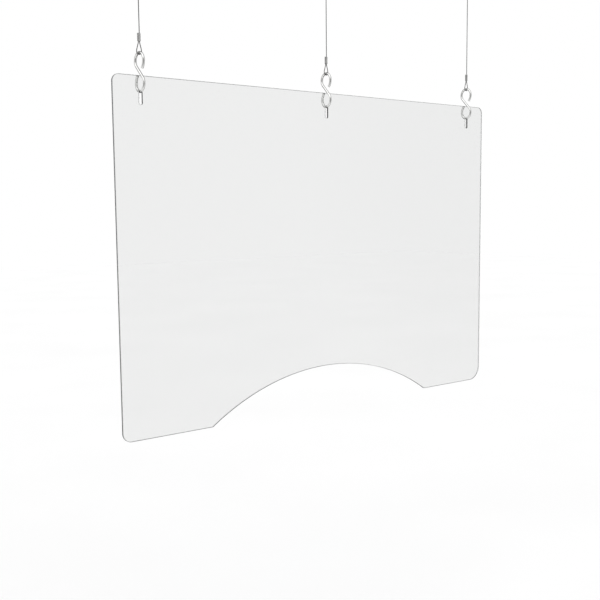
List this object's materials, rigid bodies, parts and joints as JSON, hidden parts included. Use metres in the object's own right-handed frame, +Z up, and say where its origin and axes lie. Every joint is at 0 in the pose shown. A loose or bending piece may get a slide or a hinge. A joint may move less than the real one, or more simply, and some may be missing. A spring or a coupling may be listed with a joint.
{
  "type": "sneeze guard",
  "caption": "Clear acrylic sneeze guard panel with rounded corners and an arched pass-through, hung from the ceiling by S-hooks and short steel cables.",
  "frame": {"origin": "centre of the middle ceiling plate's upper face, which is the face against the ceiling", "axes": "+Z up, +X to the right along the panel as the customer sees it, -Y towards the customer"},
  "size_m": [0.9144, 0.0312, 0.9966],
  "materials": {
    "clear_acrylic": "clear, polished faces and edges",
    "plated_steel": "bright zinc plated round wire",
    "plate_steel": "satin plated sheet",
    "cable_steel": "stranded galvanised wire rope",
    "ferrule_metal": "dull, crimped"
  },
  "bodies": {
    "ceiling": {"ceiling_plate_left": "plate_steel", "ceiling_eye_left": "plated_steel", "ceiling_plate_middle": "plate_steel", "ceiling_eye_middle": "plated_steel", "ceiling_plate_right": "plate_steel", "ceiling_eye_right": "plated_steel"},
    "upper_hook_left": {"upper_hook_left": "plated_steel"},
    "upper_hook_middle": {"upper_hook_middle": "plated_steel"},
    "upper_hook_right": {"upper_hook_right": "plated_steel"},
    "cable_left": {"cable_left": "cable_steel", "upper_ferrule_left": "ferrule_metal", "lower_ferrule_left": "ferrule_metal"},
    "cable_middle": {"cable_middle": "cable_steel", "upper_ferrule_middle": "ferrule_metal", "lower_ferrule_middle": "ferrule_metal"},
    "cable_right": {"cable_right": "cable_steel", "upper_ferrule_right": "ferrule_metal", "lower_ferrule_right": "ferrule_metal"},
    "lower_hook_left": {"lower_hook_left": "plated_steel"},
    "lower_hook_middle": {"lower_hook_middle": "plated_steel"},
    "lower_hook_right": {"lower_hook_right": "plated_steel"},
    "panel": {"clear_panel": "clear_acrylic"}
  },
  "joints": [
    {"name": "upper_hook_swing_left", "type": "hinge", "parent": "ceiling", "child": "upper_hook_left", "pos_m": [-0.4052, 0, -0.0231], "axis": [1, 0, 0], "range_deg": [-30, 30]},
    {"name": "upper_hook_swing_middle", "type": "hinge", "parent": "ceiling", "child": "upper_hook_middle", "pos_m": [0, 0, -0.0231], "axis": [1, 0, 0], "range_deg": [-30, 30]},
    {"name": "upper_hook_swing_right", "type": "hinge", "parent": "ceiling", "child": "upper_hook_right", "pos_m": [0.4052, 0, -0.0231], "axis": [1, 0, 0], "range_deg": [-30, 30]},
    {"name": "cable_sway_left", "type": "hinge", "parent": "upper_hook_left", "child": "cable_left", "pos_m": [-0.4052, 0, -0.0831], "axis": [0, 1, 0], "range_deg": [-20, 20]},
    {"name": "cable_sway_middle", "type": "hinge", "parent": "upper_hook_middle", "child": "cable_middle", "pos_m": [0, 0, -0.0831], "axis": [0, 1, 0], "range_deg": [-20, 20]},
    {"name": "cable_sway_right", "type": "hinge", "parent": "upper_hook_right", "child": "cable_right", "pos_m": [0.4052, 0, -0.0831], "axis": [0, 1, 0], "range_deg": [-20, 20]},
    {"name": "lower_hook_sway_left", "type": "hinge", "parent": "cable_left", "child": "lower_hook_left", "pos_m": [-0.4052, 0, -0.32995], "axis": [0, 1, 0], "range_deg": [-20, 20]},
    {"name": "lower_hook_sway_middle", "type": "hinge", "parent": "cable_middle", "child": "lower_hook_middle", "pos_m": [0, 0, -0.32995], "axis": [0, 1, 0], "range_deg": [-20, 20]},
    {"name": "lower_hook_sway_right", "type": "hinge", "parent": "cable_right", "child": "lower_hook_right", "pos_m": [0.4052, 0, -0.32995], "axis": [0, 1, 0], "range_deg": [-20, 20]},
    {"name": "panel_swing", "type": "hinge", "parent": "lower_hook_middle", "child": "panel", "pos_m": [0, 0, -0.38145], "axis": [1, 0, 0], "range_deg": [-17, 1]}
  ],
  "couplings": [
    {"joint": "upper_hook_swing_left", "follows": "upper_hook_swing_middle", "ratio": 1},
    {"joint": "cable_sway_left", "follows": "cable_sway_middle", "ratio": 1},
    {"joint": "upper_hook_swing_right", "follows": "upper_hook_swing_middle", "ratio": 1},
    {"joint": "cable_sway_right", "follows": "cable_sway_middle", "ratio": 1},
    {"joint": "lower_hook_sway_left", "follows": "cable_sway_middle", "ratio": -1},
    {"joint": "lower_hook_sway_middle", "follows": "cable_sway_middle", "ratio": -1},
    {"joint": "lower_hook_sway_right", "follows": "cable_sway_middle", "ratio": -1}
  ]
}
